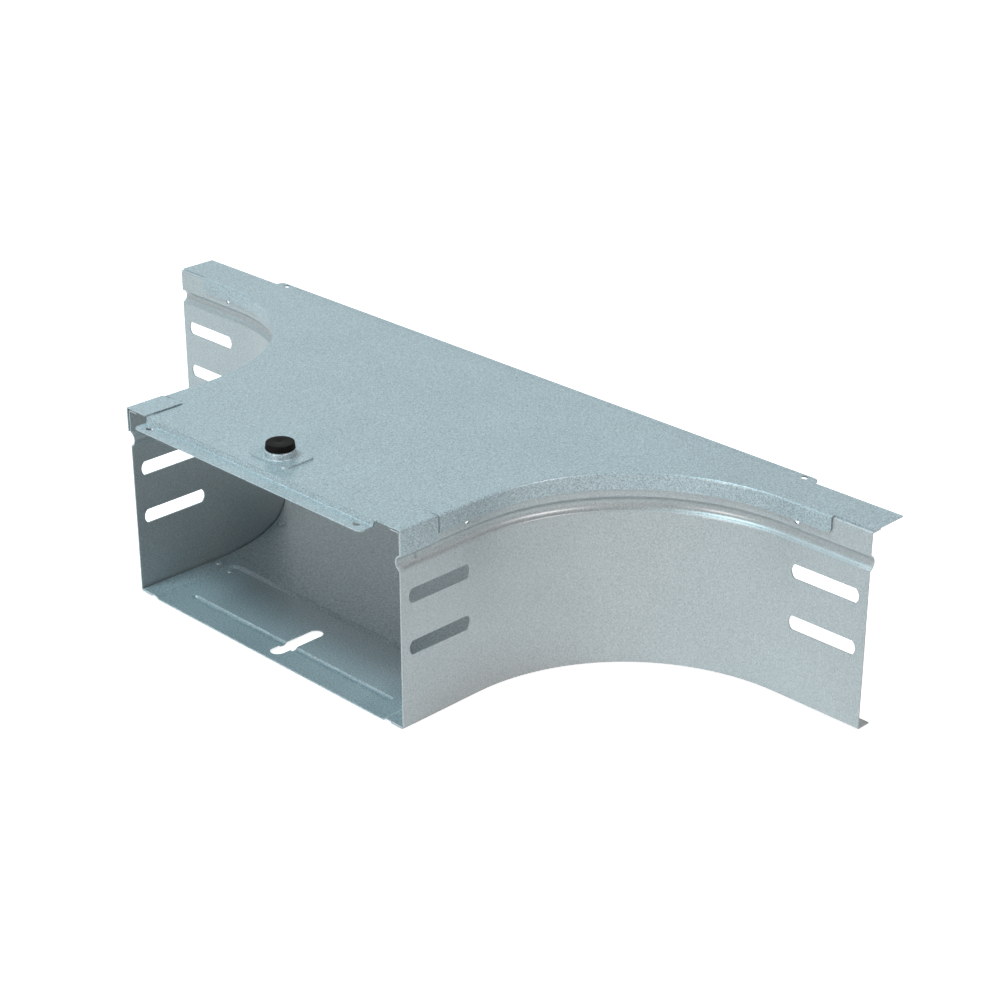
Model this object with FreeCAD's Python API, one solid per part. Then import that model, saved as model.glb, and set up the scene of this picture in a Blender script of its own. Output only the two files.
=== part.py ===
import FreeCAD, Part
import math
import os

# Add-on tee for a cable tray, with its lid and quarter-turn latch, in millimetres.
# The run lies along X, the branch leaves towards -Y, and Z is up.
# The origin is on the underside of the floor's recess, on the branch's centreline,
# level with the centres of the two curved walls.

V = FreeCAD.Vector
X = V(1, 0, 0)
Y = V(0, 1, 0)
Z = V(0, 0, 1)

# Main sizes of the tray fitting
SHEET = 0.75                # thickness of every folded sheet
CLEAR_WIDTH = 200.0         # between the inner faces of the branch walls
WALL_HEIGHT = 102.5         # over both flanges of a side wall
CORNER_RADIUS = 100.0       # outer face of a curved wall
BRANCH_STRAIGHT = 50.0      # straight end of each wall on the branch
RUN_STRAIGHT = 50.0         # straight end of each wall on the run
BEND_RADIUS = 0.5           # inside radius of the folds of a wall
TIGHT_BEND = 0.4            # inside radius of the other folds

# Side walls
BOTTOM_FLANGE = 8.6
TOP_FLANGE = 6.4
BEAD_HEIGHT = 86.6          # bead's centre above the wall's bottom
BEAD_WIDTH = 7.6
BEAD_DEPTH = 2.8
BEAD_SLOPE = math.radians(55.0)
SLOT_WIDTH = 7.5
SLOT_LENGTH = 39.0
SLOT_BOW = 1.9              # how far a slot's end bulges past its corners
SLOT_INSET = 24.35          # slot's centre from the wall's end
SLOT_HEIGHT = 41.1          # lower slot's centre above the wall's bottom
SLOT_PITCH = 27.0           # upper slot above the lower one
PIN_HOLE_RADIUS = 1.4
PIN_HOLE_INSET = 42.4
PIN_HOLE_DROP = 8.6         # hole's centre below the wall's top
SLIT_INSET = 11.9           # snap slit's centre from the branch end
SLIT_WIDTH = 1.0
SLIT_DROP = 1.9             # slit's lower end below the bead's centre

# Floor plate
FLOOR_SIDE_GAP = 0.1        # between the plate's edge and the wall's inside bend
FLOOR_BACK = 8.6            # how far the tongue reaches past the run walls' plane
TONGUE_HALF = 140.0         # half the width of the tongue
SHOULDER_SETBACK = 1.0      # the plate stops this far in front of that plane beside it
RECESS_DEPTH = 1.2          # recess of the branch end, which takes the next tray's floor
RECESS_MARGIN = 13.8        # from the wall's inner face to the foot of the recess's ramp
RECESS_LENGTH = 50.6        # from the branch end to the foot of its rear ramp
RECESS_RAMP = 2.4           # run of the ramp round the recess
RECESS_CORNER = 3.0
RECESS_BEND = 0.8           # inside radius of the ramp's folds
RIB_INSET = 14.75           # rib's centreline from the branch end
RIB_MARGIN = 9.7            # from the foot of the ramp to the rib's end
RIB_WIDTH = 4.3
RIB_DEPTH = 1.2
FLOOR_SLOT_WIDTH = 8.4
FLOOR_SLOT_LENGTH = 32.6
FLOOR_SLOT_INSET = 20.4     # slot's centre from the branch end
PIP_RADIUS = 1.4            # small pressed bump, a stop for the next tray
PIP_RISE = 0.9
PIP_MARGIN = 1.8            # from the foot of the ramp
PIP_INSET = 45.6            # from the branch end

# Clinched joints between the plate's margin and the wall's flange
CLINCH_RADIUS = 1.0         # inside radius of the flange's cup
CLINCH_WALL = 0.55          # side of each cup, thinner than the sheet
CLINCH_DEPTH = 0.7
CLINCH_ROUND = 0.6
CLINCH_RING = 0.8           # shallow ring pressed round the button
CLINCH_RING_DEPTH = 0.2
CLINCH_INSET = 5.1          # from the wall's inner face
CLINCH_ANGLES = (29.0, 58.0)
CLINCH_LEAD = 3.0           # first clinch in front of the start of the curve

# Lid
LID_GAP = 0.3               # between the wall's outer face and the lid's skirt
SKIRT_DEPTH = 8.6
SKIRT_BRANCH_INSET = 23.6   # skirt's end from the wall's branch end
SKIRT_RUN_INSET = 22.3      # skirt's end from the wall's run end
SKIRT_CORNER = 2.5          # rounded lower corner at the skirt's run end
LID_FRONT_LAP = 0.5         # lid's front fold past the branch end
LID_BACK = 23.0             # lid's back edge past the run walls' plane
LID_END_SETBACK = 1.6       # lid's edge behind the wall's face where no skirt is
LIP_DROP = 2.6
LIP_RAMP = 1.1
LIP_WIDTH = 9.0             # lip's edge from the fold
LIP_CORNER = 3.0
LIP_HOLE_RADIUS = 2.0
LIP_HOLE_INSET = 7.2        # from the lip's end
FRONT_LIP_GAP = 0.95        # between the front lip and the slit of the corner cap
FRONT_HOLE_SETBACK = 4.6    # hole's centre from the lip's edge
BACK_LIP_HALF = 196.6
BACK_HOLE_SETBACK = 3.2

# Corner caps of the lid, which a neighbouring lid slides under
CAP_WIDTH = 15.4            # from the wall's outer face to the slit
CAP_SLIT = 0.5
CAP_LAND = 0.5              # level strip behind the cap's ramp
CAP_RAMP = 0.9
CAP_FLAP_DEPTH = 13.4       # flap's lower edge below the cap's top
CAP_GAP = 0.5               # between the flap and the skirt

# Pad and collar pressed up out of the lid around the latch
LATCH_INSET = 15.3          # latch's axis from the branch end
PAD_LENGTH = 27.8
PAD_DEPTH = 20.2
PAD_SHIFT = 0.9             # pad's centre behind the latch's axis
PAD_CORNER = 3.6
PAD_RISE = 1.0
PAD_DRAFT = 0.3
COLLAR_BASE = 7.85
COLLAR_TOP = 7.5
COLLAR_HEIGHT = 3.7
COLLAR_FILLET = 0.7
COLLAR_LAP = 0.95           # flat ring round the collar's foot

# Latch
KNOB_RADIUS = 7.45
KNOB_TOP_RADIUS = 7.0
KNOB_HEIGHT = 3.2
KNOB_ROUND = 0.5
KNOB_DIMPLE_RADIUS = 1.3
KNOB_DIMPLE_DEPTH = 0.35
KNOB_NOTCH_WIDTH = 1.2
KNOB_NOTCH_DEPTH = 0.5
KNOB_NOTCH_ANGLE = 58.0     # from +X when locked
KNOB_SOCKET_DEPTH = 2.0
TURN_GAP = 0.2              # between faces that turn over each other
NECK_RADIUS = 4.0
NECK_CLEARANCE = 0.05       # radial, in the collar's hole
SPINDLE_FLANGE_RADIUS = 6.4
SPINDLE_FLANGE = 1.2
SPINDLE_RADIUS = 2.9
SQUARE = 3.6                # across the flats of the spindle's driving ends
WASHER_STOCK = 0.4
WASHER_RISE = 0.5
WASHER_OUTER = 6.3
BAR_LENGTH = 13.4
BAR_WIDTH = 6.0
BAR_THICKNESS = 1.5
BAR_GAP = 0.3               # between the bar and the bridge
RING_RADIUS = 3.8
RING_THICKNESS = 0.6
SPINDLE_TAIL = 0.8          # spindle's end below the ring

# Latch bridge, the cross strip that the bar hooks under
BRIDGE_WIDTH = 16.0
BRIDGE_END_GAP = 0.1        # between the strip's end and the wall's inside bend
BRIDGE_LIP = 4.0            # depth of its two stiffening lips
BRIDGE_SLOT_LENGTH = 16.4
BRIDGE_SLOT_WIDTH = 7.4

# Places that follow from the sizes
FACE_X = CLEAR_WIDTH / 2 + SHEET
CENTRE_X = FACE_X + CORNER_RADIUS
CURVE_CENTRE = V(CENTRE_X, 0, 0)
BRANCH_Y = -BRANCH_STRAIGHT
RUN_Y = CORNER_RADIUS
RUN_X = CENTRE_X + RUN_STRAIGHT
WALL_BOTTOM = RECESS_DEPTH - SHEET
WALL_TOP = WALL_BOTTOM + WALL_HEIGHT
FLOOR_TOP = RECESS_DEPTH + SHEET
FLOOR_EDGE = SHEET + BEND_RADIUS + FLOOR_SIDE_GAP
RECESS_REAR = BRANCH_Y + RECESS_LENGTH
RECESS_LAP = RECESS_CORNER / 2
LID_TOP = WALL_TOP + SHEET
LID_SIDE = LID_GAP + SHEET
LID_FRONT = BRANCH_Y - LID_FRONT_LAP
LID_BACK_Y = RUN_Y + LID_BACK
CAP_TOP = LID_TOP + SHEET
CAP_BACK = BRANCH_Y + SKIRT_BRANCH_INSET - CAP_GAP
CAP_RAMP_REAR = CAP_BACK - CAP_LAND
CAP_RAMP_FRONT = CAP_RAMP_REAR - CAP_RAMP
LATCH_Y = BRANCH_Y + LATCH_INSET
PAD_Y = LATCH_Y + PAD_SHIFT
PAD_TOP = LID_TOP + PAD_RISE
COLLAR_Z = PAD_TOP + COLLAR_HEIGHT
KNOB_BOTTOM = COLLAR_Z + TURN_GAP
BRIDGE_TOP = WALL_TOP - SHEET
BAR_TOP = BRIDGE_TOP - SHEET - BAR_GAP
BAR_BOTTOM = BAR_TOP - BAR_THICKNESS
RING_BOTTOM = BAR_BOTTOM - RING_THICKNESS
RECESS_HALF = CLEAR_WIDTH / 2 - RECESS_MARGIN
RIB_LENGTH = 2 * (RECESS_HALF - RIB_MARGIN)
PIP_X = RECESS_HALF - PIP_MARGIN
FRONT_LIP_HALF = FACE_X - CAP_WIDTH - FRONT_LIP_GAP
LAP = 4.0                   # plate taken into a folded edge's section
REACH = 6.0                 # how far a cutter runs past the sheet


def cross(a, b):
    return a[0] * b[1] - a[1] * b[0]


def left_of(unit):
    return (-unit[1], unit[0])


def shifted(point, unit, distance):
    return (point[0] + unit[0] * distance, point[1] + unit[1] * distance)


def folded_face(points, radii, place):
    """Section of a folded sheet. The points run along the sheet's first side, the
    sheet lies to their left, and radii holds the inside radius of each fold."""
    steps = [(b[0] - a[0], b[1] - a[1]) for a, b in zip(points, points[1:])]
    units = [(s[0] / math.hypot(*s), s[1] / math.hypot(*s)) for s in steps]
    near = [(points[0], None)]
    far = [(shifted(points[0], left_of(units[0]), SHEET), None)]
    for corner, before, after, radius in zip(points[1:-1], units, units[1:], radii):
        turn = math.atan2(cross(before, after), before[0] * after[0] + before[1] * after[1])
        side = math.copysign(1, turn)
        near_radius = radius + SHEET if side > 0 else radius
        reach = near_radius * math.tan(abs(turn) / 2)
        start = shifted(corner, before, -reach)
        end = shifted(corner, after, reach)
        centre = shifted(start, left_of(before), side * near_radius)
        size = math.dist(corner, centre)
        outward = ((corner[0] - centre[0]) / size, (corner[1] - centre[1]) / size)
        near += [(start, None), (end, shifted(centre, outward, near_radius))]
        far_middle = shifted(centre, outward, near_radius - side * SHEET)
        far += [(shifted(start, left_of(before), SHEET), None)]
        far += [(shifted(end, left_of(after), SHEET), far_middle)]
    near.append((points[-1], None))
    far.append((shifted(points[-1], left_of(units[-1]), SHEET), None))
    edges = side_edges(near, place) + side_edges(far, place)
    for tip in (0, -1):
        edges.append(Part.makeLine(place(*near[tip][0]), place(*far[tip][0])))
    return Part.Face(Part.Wire(Part.__sortEdges__(edges)))


def side_edges(side, place):
    """Lines and arcs through one side's points. A middle point marks an arc."""
    edges = []
    for (start, _), (end, middle) in zip(side, side[1:]):
        if middle is None:
            edges.append(Part.makeLine(place(*start), place(*end)))
        else:
            edges.append(Part.Arc(place(*start), place(*middle), place(*end)).toShape())
    return edges


def across_wall(inward, height):
    """Point of a section across the right wall, where its curve begins."""
    return V(FACE_X - inward, 0, height)


def along_wall(section, branch_end, run_end):
    """Carry a section along the right wall: straight, quarter circle, straight."""
    branch = section.extrude(Y * branch_end)
    curve = section.revolve(CURVE_CENTRE, Z, -90)
    turned = section.copy()
    turned.rotate(CURVE_CENTRE, Z, -90)
    run = turned.extrude(X * (run_end - CENTRE_X))
    return fused([branch, curve, run])


def fused(shapes):
    """One solid from pieces that meet, with coplanar faces joined."""
    return shapes[0].multiFuse(shapes[1:]).removeSplitter()


def block(x0, x1, y0, y1, z0, z1):
    return Part.makeBox(x1 - x0, y1 - y0, z1 - z0, V(x0, y0, z0))


def mirrored(shape):
    """The same shape on the other side of the branch's centreline."""
    return shape.mirror(V(0, 0, 0), X)


def both_sides(shape):
    return [shape, mirrored(shape)]


def slot_wire(centre, along, across, length, width, bow):
    """Two straight sides and two bowed ends, which are half circles at the most."""
    run = along * (length / 2 - bow)
    side = across * (width / 2)
    tip = along * (length / 2)
    return Part.Wire([
        Part.makeLine(centre - run + side, centre + run + side),
        Part.Arc(centre + run + side, centre + tip, centre + run - side).toShape(),
        Part.makeLine(centre + run - side, centre - run - side),
        Part.Arc(centre - run - side, centre - tip, centre - run + side).toShape(),
    ])


def slot_cutter(centre, along, across, length, width, bow=None):
    """Tool for a long hole, run through the sheet on both sides."""
    through = along.cross(across)
    bow = width / 2 if bow is None else bow
    wire = slot_wire(centre - through * REACH, along, across, length, width, bow)
    return Part.Face(wire).extrude(through * (2 * REACH))


def hole_cutter(centre, axis, radius):
    return Part.makeCylinder(radius, 2 * REACH, centre - axis * REACH, axis)


def rounded_wire(centre, length, depth, corner):
    """Level rectangle with rounded corners."""
    x0, x1 = centre.x - length / 2, centre.x + length / 2
    y0, y1 = centre.y - depth / 2, centre.y + depth / 2
    bow = corner * (1 - math.sqrt(0.5))
    spots = [
        (x0 + corner, y0), (x1 - corner, y0), (x1 - bow, y0 + bow), (x1, y0 + corner),
        (x1, y1 - corner), (x1 - bow, y1 - bow), (x1 - corner, y1),
        (x0 + corner, y1), (x0 + bow, y1 - bow), (x0, y1 - corner),
        (x0, y0 + corner), (x0 + bow, y0 + bow),
    ]
    p = [V(x, y, centre.z) for x, y in spots]
    return Part.Wire([
        Part.makeLine(p[0], p[1]), Part.Arc(p[1], p[2], p[3]).toShape(),
        Part.makeLine(p[3], p[4]), Part.Arc(p[4], p[5], p[6]).toShape(),
        Part.makeLine(p[6], p[7]), Part.Arc(p[7], p[8], p[9]).toShape(),
        Part.makeLine(p[9], p[10]), Part.Arc(p[10], p[11], p[0]).toShape(),
    ])


# Side walls

def wall_section():
    """Both flanges, the upright sheet and the bead pressed into it."""
    half = BEAD_WIDTH / 2
    middle = WALL_BOTTOM + BEAD_HEIGHT
    peak = half * math.tan(BEAD_SLOPE)
    round_bottom = (peak - BEAD_DEPTH) / (1 / math.cos(BEAD_SLOPE) - 1)
    points = [
        (TOP_FLANGE, WALL_TOP), (0, WALL_TOP), (0, middle + half), (peak, middle),
        (0, middle - half), (0, WALL_BOTTOM), (BOTTOM_FLANGE, WALL_BOTTOM),
    ]
    radii = [BEND_RADIUS, TIGHT_BEND, round_bottom, TIGHT_BEND, BEND_RADIUS]
    return folded_face(points, radii, across_wall)


def wall_slots():
    """Two long holes one above the other at each end of the wall."""
    cutters = []
    for row in range(2):
        height = WALL_BOTTOM + SLOT_HEIGHT + row * SLOT_PITCH
        branch = V(FACE_X, BRANCH_Y + SLOT_INSET, height)
        run = V(RUN_X - SLOT_INSET, RUN_Y, height)
        cutters.append(slot_cutter(branch, Y, Z, SLOT_LENGTH, SLOT_WIDTH, SLOT_BOW))
        cutters.append(slot_cutter(run, X, Z, SLOT_LENGTH, SLOT_WIDTH, SLOT_BOW))
    return cutters


def pin_holes():
    height = WALL_TOP - PIN_HOLE_DROP
    branch = V(FACE_X, BRANCH_Y + PIN_HOLE_INSET, height)
    run = V(RUN_X - PIN_HOLE_INSET, RUN_Y, height)
    return [hole_cutter(branch, X, PIN_HOLE_RADIUS), hole_cutter(run, Y, PIN_HOLE_RADIUS)]


def snap_slit():
    """Slit across the bead, from its upper fold to just below its middle."""
    place = BRANCH_Y + SLIT_INSET
    middle = WALL_BOTTOM + BEAD_HEIGHT
    return block(
        FACE_X - REACH, FACE_X + REACH, place - SLIT_WIDTH / 2, place + SLIT_WIDTH / 2,
        middle - SLIT_DROP, middle + BEAD_WIDTH / 2
    )


def clinch_places():
    """Centres on the right flange: one on the straight, the others on the curve."""
    start = V(FACE_X - SHEET - CLINCH_INSET, 0, 0)
    places = [start - Y * CLINCH_LEAD]
    for angle in CLINCH_ANGLES:
        turn = FreeCAD.Rotation(Z, -angle)
        places.append(CURVE_CENTRE + turn.multVec(start - CURVE_CENTRE))
    return places


def button(centre, bottom, height, radius, rounding):
    """Short cylinder with a rounded upper edge."""
    body = Part.makeCylinder(radius, height, V(centre.x, centre.y, bottom))
    top = bottom + height
    rim = [edge for edge in body.Edges if edge.BoundBox.ZMin > top - rounding]
    return body.makeFillet(rounding, rim)


def with_clinches(sheet, places, underside, inner):
    """Press a cup upwards out of the sheet at each place."""
    for place in places:
        cup = button(place, underside, SHEET + CLINCH_DEPTH, inner + CLINCH_WALL, CLINCH_ROUND)
        hollow = button(place, underside - SHEET, SHEET + CLINCH_DEPTH, inner, CLINCH_ROUND)
        sheet = sheet.fuse(cup).cut(hollow)
    return sheet


def clinch_rings(places):
    """Shallow rings round the buttons on top of the floor plate."""
    outer = CLINCH_RADIUS + 2 * CLINCH_WALL
    rings = []
    for place in places:
        foot = V(place.x, place.y, FLOOR_TOP - CLINCH_RING_DEPTH)
        disc = Part.makeCylinder(outer + CLINCH_RING, SHEET, foot)
        rings.append(disc.cut(Part.makeCylinder(outer, SHEET, foot)))
    return rings


def right_wall():
    wall = along_wall(wall_section(), BRANCH_Y, RUN_X)
    wall = wall.cut(wall_slots() + pin_holes() + [snap_slit()])
    return with_clinches(wall, clinch_places(), WALL_BOTTOM, CLINCH_RADIUS)


# Floor plate

def floor_outline():
    """Flat sheet between the walls, whose edges lie on their flanges."""
    side = FACE_X - FLOOR_EDGE
    flat = block(-CENTRE_X, CENTRE_X, BRANCH_Y, RUN_Y + FLOOR_BACK, RECESS_DEPTH, FLOOR_TOP)
    outside = block(side, CENTRE_X, BRANCH_Y, 0, RECESS_DEPTH, FLOOR_TOP)
    disc = Part.makeCylinder(CORNER_RADIUS + FLOOR_EDGE, SHEET, CURVE_CENTRE + Z * RECESS_DEPTH)
    shoulder = block(
        TONGUE_HALF, CENTRE_X, RUN_Y - SHOULDER_SETBACK, RUN_Y + FLOOR_BACK, RECESS_DEPTH, FLOOR_TOP
    )
    return flat.cut(both_sides(outside) + both_sides(disc) + both_sides(shoulder))


def recess_prism(grow, z_low):
    """One sheet thick, with the recess's outline moved outwards."""
    length = 2 * (RECESS_HALF + grow)
    depth = 2 * (RECESS_LENGTH + grow)
    wire = rounded_wire(V(0, BRANCH_Y, z_low), length, depth, RECESS_CORNER + grow)
    beyond = block(-RUN_X, RUN_X, BRANCH_Y - depth, BRANCH_Y, z_low, z_low + SHEET)
    return Part.Face(wire).extrude(Z * SHEET).cut(beyond)


def recess_ramp():
    """Right half of the joggle that leads down into the recess."""
    hub = V(RECESS_HALF - RECESS_CORNER, RECESS_REAR - RECESS_CORNER, 0)
    points = [
        (RECESS_RAMP + RECESS_LAP, FLOOR_TOP), (RECESS_RAMP, FLOOR_TOP), (0, SHEET), (-RECESS_LAP, SHEET),
    ]
    section = folded_face(
        points, [RECESS_BEND, RECESS_BEND], lambda u, z: V(RECESS_HALF + u, hub.y, z)
    )
    side = section.extrude(Y * (BRANCH_Y - hub.y))
    corner = section.revolve(hub, Z, 90)
    turned = section.copy()
    turned.rotate(hub, Z, 90)
    rear = turned.extrude(X * -hub.x)
    return fused([side, corner, rear])


def with_rib(plate):
    """Press a rib with round ends down out of the recess's floor."""
    radius = ((RIB_WIDTH / 2) ** 2 + RIB_DEPTH ** 2) / (2 * RIB_DEPTH)
    half = RIB_LENGTH / 2 - math.sqrt(radius ** 2 - (radius - RIB_DEPTH) ** 2)
    ends = [V(x, BRANCH_Y + RIB_INSET, SHEET - RIB_DEPTH + radius) for x in (-half, half)]
    hollow = capsule(ends, radius)
    above = block(-RUN_X, RUN_X, BRANCH_Y, RUN_Y, SHEET / 2, SHEET + REACH)
    return plate.fuse(capsule(ends, radius + SHEET).cut(above)).cut(hollow)


def capsule(ends, radius):
    rod = Part.makeCylinder(radius, ends[1].x - ends[0].x, ends[0], X)
    return fused([rod] + [Part.makeSphere(radius, end) for end in ends])


def with_pips(plate):
    """Press two small bumps up out of the recess's floor."""
    ball = (PIP_RADIUS ** 2 + PIP_RISE ** 2) / (2 * PIP_RISE)
    centre = V(PIP_X, BRANCH_Y + PIP_INSET, SHEET + PIP_RISE - ball)
    below = block(0, RUN_X, BRANCH_Y, RUN_Y, -REACH, SHEET / 2)
    bump = Part.makeSphere(ball, centre).cut(below)
    dent = Part.makeSphere(ball, centre - Z * SHEET)
    return plate.fuse(both_sides(bump)).cut(both_sides(dent))


def floor_plate():
    upper = floor_outline().cut(recess_prism(RECESS_RAMP + RECESS_LAP, RECESS_DEPTH))
    lower = recess_prism(-RECESS_LAP, 0)
    plate = with_pips(with_rib(fused([upper, lower] + both_sides(recess_ramp()))))
    slot = V(0, BRANCH_Y + FLOOR_SLOT_INSET, 0)
    plate = plate.cut(slot_cutter(slot, Y, X, FLOOR_SLOT_LENGTH, FLOOR_SLOT_WIDTH))
    places = clinch_places()
    places += [V(-place.x, place.y, 0) for place in places]
    plate = plate.cut(clinch_rings(places))
    return with_clinches(plate, places, RECESS_DEPTH, CLINCH_RADIUS + CLINCH_WALL).removeSplitter()


# Lid

def edge_section(top, bottom, place):
    """Folded edge of the lid, from the plate out and down over the wall."""
    points = [(LAP, top), (-LID_SIDE, top), (-LID_SIDE, bottom)]
    return folded_face(points, [TIGHT_BEND], place)


def lid_skirt():
    """Edge folded down outside the wall, round the curve."""
    section = edge_section(LID_TOP, LID_TOP - SKIRT_DEPTH, across_wall)
    skirt = along_wall(section, BRANCH_Y + SKIRT_BRANCH_INSET, RUN_X - SKIRT_RUN_INSET)
    end = RUN_X - SKIRT_RUN_INSET
    low = LID_TOP - SKIRT_DEPTH
    corner = block(
        end - SKIRT_CORNER, end + REACH, RUN_Y - REACH, RUN_Y, low - REACH, low + SKIRT_CORNER
    )
    hub = V(end - SKIRT_CORNER, RUN_Y, low + SKIRT_CORNER)
    corner = corner.cut(hole_cutter(hub, Y, SKIRT_CORNER))
    return skirt.cut(corner)


def lid_core():
    """Flat top inside the folded edges."""
    under = WALL_TOP
    core = block(-RUN_X, RUN_X, LID_FRONT, LID_BACK_Y, under, LID_TOP)
    outer = block(FACE_X - LAP, RUN_X, LID_FRONT, 0, under, LID_TOP)
    disc = Part.makeCylinder(CORNER_RADIUS + LAP, SHEET, CURVE_CENTRE + Z * under)
    run_side = block(CENTRE_X, RUN_X - SKIRT_RUN_INSET, 0, RUN_Y + LAP, under, LID_TOP)
    run_end = block(RUN_X - SKIRT_RUN_INSET, RUN_X, 0, RUN_Y + LID_END_SETBACK, under, LID_TOP)
    cap_place = block(
        FACE_X - CAP_WIDTH, RUN_X, LID_FRONT, BRANCH_Y + SKIRT_BRANCH_INSET, under, LID_TOP
    )
    waste = [outer, disc, run_side, run_end, cap_place]
    return core.cut([side for shape in waste for side in both_sides(shape)])


def corner_cap():
    """Cap raised one sheet at the branch end, joined to the lid by a small ramp."""
    inner = FACE_X - CAP_WIDTH + CAP_SLIT
    back = BRANCH_Y + SKIRT_BRANCH_INSET
    points = [
        (back, LID_TOP), (CAP_RAMP_REAR, LID_TOP),
        (CAP_RAMP_FRONT, CAP_TOP), (LID_FRONT, CAP_TOP),
    ]
    radius = CAP_RAMP / 4
    section = folded_face(points, [radius, radius], lambda y, z: V(inner, y, z))
    plate = section.extrude(X * (FACE_X - LAP - inner))
    low = WALL_TOP - 3 * SHEET
    fold = edge_section(CAP_TOP, low + SHEET, lambda u, z: V(FACE_X - u, LID_FRONT, z))
    front = fold.extrude(Y * (CAP_RAMP_FRONT - LID_FRONT))
    fold.translate(Y * (CAP_RAMP_FRONT - LID_FRONT))
    slope = fold.extrude(Y * CAP_RAMP - Z * SHEET)
    fold.translate(Y * CAP_RAMP - Z * SHEET)
    land = fold.extrude(Y * CAP_LAND)
    flap = block(
        FACE_X + LID_GAP, FACE_X + LID_SIDE, LID_FRONT, CAP_BACK, CAP_TOP - CAP_FLAP_DEPTH, low + SHEET
    )
    return fused([plate, front, slope, land, flap])


def lip(half, fold, reach, setback):
    """Edge joggled down, with rounded corners and a hole near each end. The reach
    is negative towards the branch."""
    way = math.copysign(1, reach)
    points = [
        (fold - way * LAP, LID_TOP), (fold, LID_TOP),
        (fold + way * LIP_RAMP, LID_TOP - LIP_DROP), (fold + reach, LID_TOP - LIP_DROP),
    ]
    if way > 0:
        points.reverse()
    section = folded_face(points, [TIGHT_BEND, TIGHT_BEND], lambda y, z: V(-half, y, z))
    strip = section.extrude(X * (2 * half))
    edge = fold + reach
    hub = V(half - LIP_CORNER, edge - way * LIP_CORNER, LID_TOP)
    y_near, y_far = sorted((hub.y, edge + way * REACH))
    corner = block(hub.x, half + REACH, y_near, y_far, LID_TOP - 2 * REACH, LID_TOP)
    corner = corner.cut(hole_cutter(hub, Z, LIP_CORNER).fuse(hole_cutter(hub - Z * REACH, Z, LIP_CORNER)))
    spot = V(half - LIP_HOLE_INSET, edge - way * setback, LID_TOP - LIP_DROP)
    return strip.cut(both_sides(corner) + both_sides(hole_cutter(spot, Z, LIP_HOLE_RADIUS)))


def pad_body(z_low, z_high, inset):
    """Low block with rounded corners and drafted sides."""
    low = V(0, PAD_Y, z_low)
    high = V(0, PAD_Y, z_high)
    length = PAD_LENGTH - 2 * inset
    depth = PAD_DEPTH - 2 * inset
    wires = [
        rounded_wire(low, length, depth, PAD_CORNER - inset),
        rounded_wire(high, length - 2 * PAD_DRAFT, depth - 2 * PAD_DRAFT, PAD_CORNER - inset),
    ]
    return Part.makeLoft(wires, True, True)


def collar():
    """Cone drawn up out of the pad, closed by a flat ring round the spindle."""
    points = [
        (COLLAR_BASE + COLLAR_LAP, PAD_TOP), (COLLAR_BASE, PAD_TOP),
        (COLLAR_TOP, COLLAR_Z), (NECK_RADIUS + NECK_CLEARANCE, COLLAR_Z),
    ]
    section = folded_face(points, [COLLAR_FILLET, TIGHT_BEND], lambda r, z: V(r, LATCH_Y, z))
    return section.revolve(V(0, LATCH_Y, 0), Z, 360)


def lid():
    pieces = [lid_core()] + both_sides(lid_skirt()) + both_sides(corner_cap())
    pieces.append(lip(FRONT_LIP_HALF, LID_FRONT, -LIP_WIDTH, FRONT_HOLE_SETBACK))
    pieces.append(lip(BACK_LIP_HALF, LID_BACK_Y, LIP_WIDTH, BACK_HOLE_SETBACK))
    sheet = fused(pieces)
    sheet = sheet.fuse(pad_body(LID_TOP - SHEET, PAD_TOP, 0))
    sheet = sheet.cut(pad_body(LID_TOP - 2 * SHEET, PAD_TOP - SHEET, SHEET))
    opening = Part.makeCylinder(COLLAR_BASE + COLLAR_FILLET, 2 * REACH, V(0, LATCH_Y, LID_TOP - REACH))
    return fused([sheet.cut(opening), collar()])


# Latch and the bridge that it hooks under

def latch_bridge():
    """Strip across the branch under the walls' top flanges, with two lips folded down."""
    half = BRIDGE_WIDTH / 2
    end = CLEAR_WIDTH / 2 - BEND_RADIUS - BRIDGE_END_GAP
    low = BRIDGE_TOP - BRIDGE_LIP
    points = [
        (LATCH_Y + half, low), (LATCH_Y + half, BRIDGE_TOP),
        (LATCH_Y - half, BRIDGE_TOP), (LATCH_Y - half, low),
    ]
    section = folded_face(points, [TIGHT_BEND, TIGHT_BEND], lambda y, z: V(-end, y, z))
    strip = section.extrude(X * (2 * end))
    slot = slot_cutter(V(0, LATCH_Y, BRIDGE_TOP), X, Y, BRIDGE_SLOT_LENGTH, BRIDGE_SLOT_WIDTH)
    return strip.cut(slot)


def square_rod(z_low, z_high):
    half = SQUARE / 2
    return block(-half, half, LATCH_Y - half, LATCH_Y + half, z_low, z_high)


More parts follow.
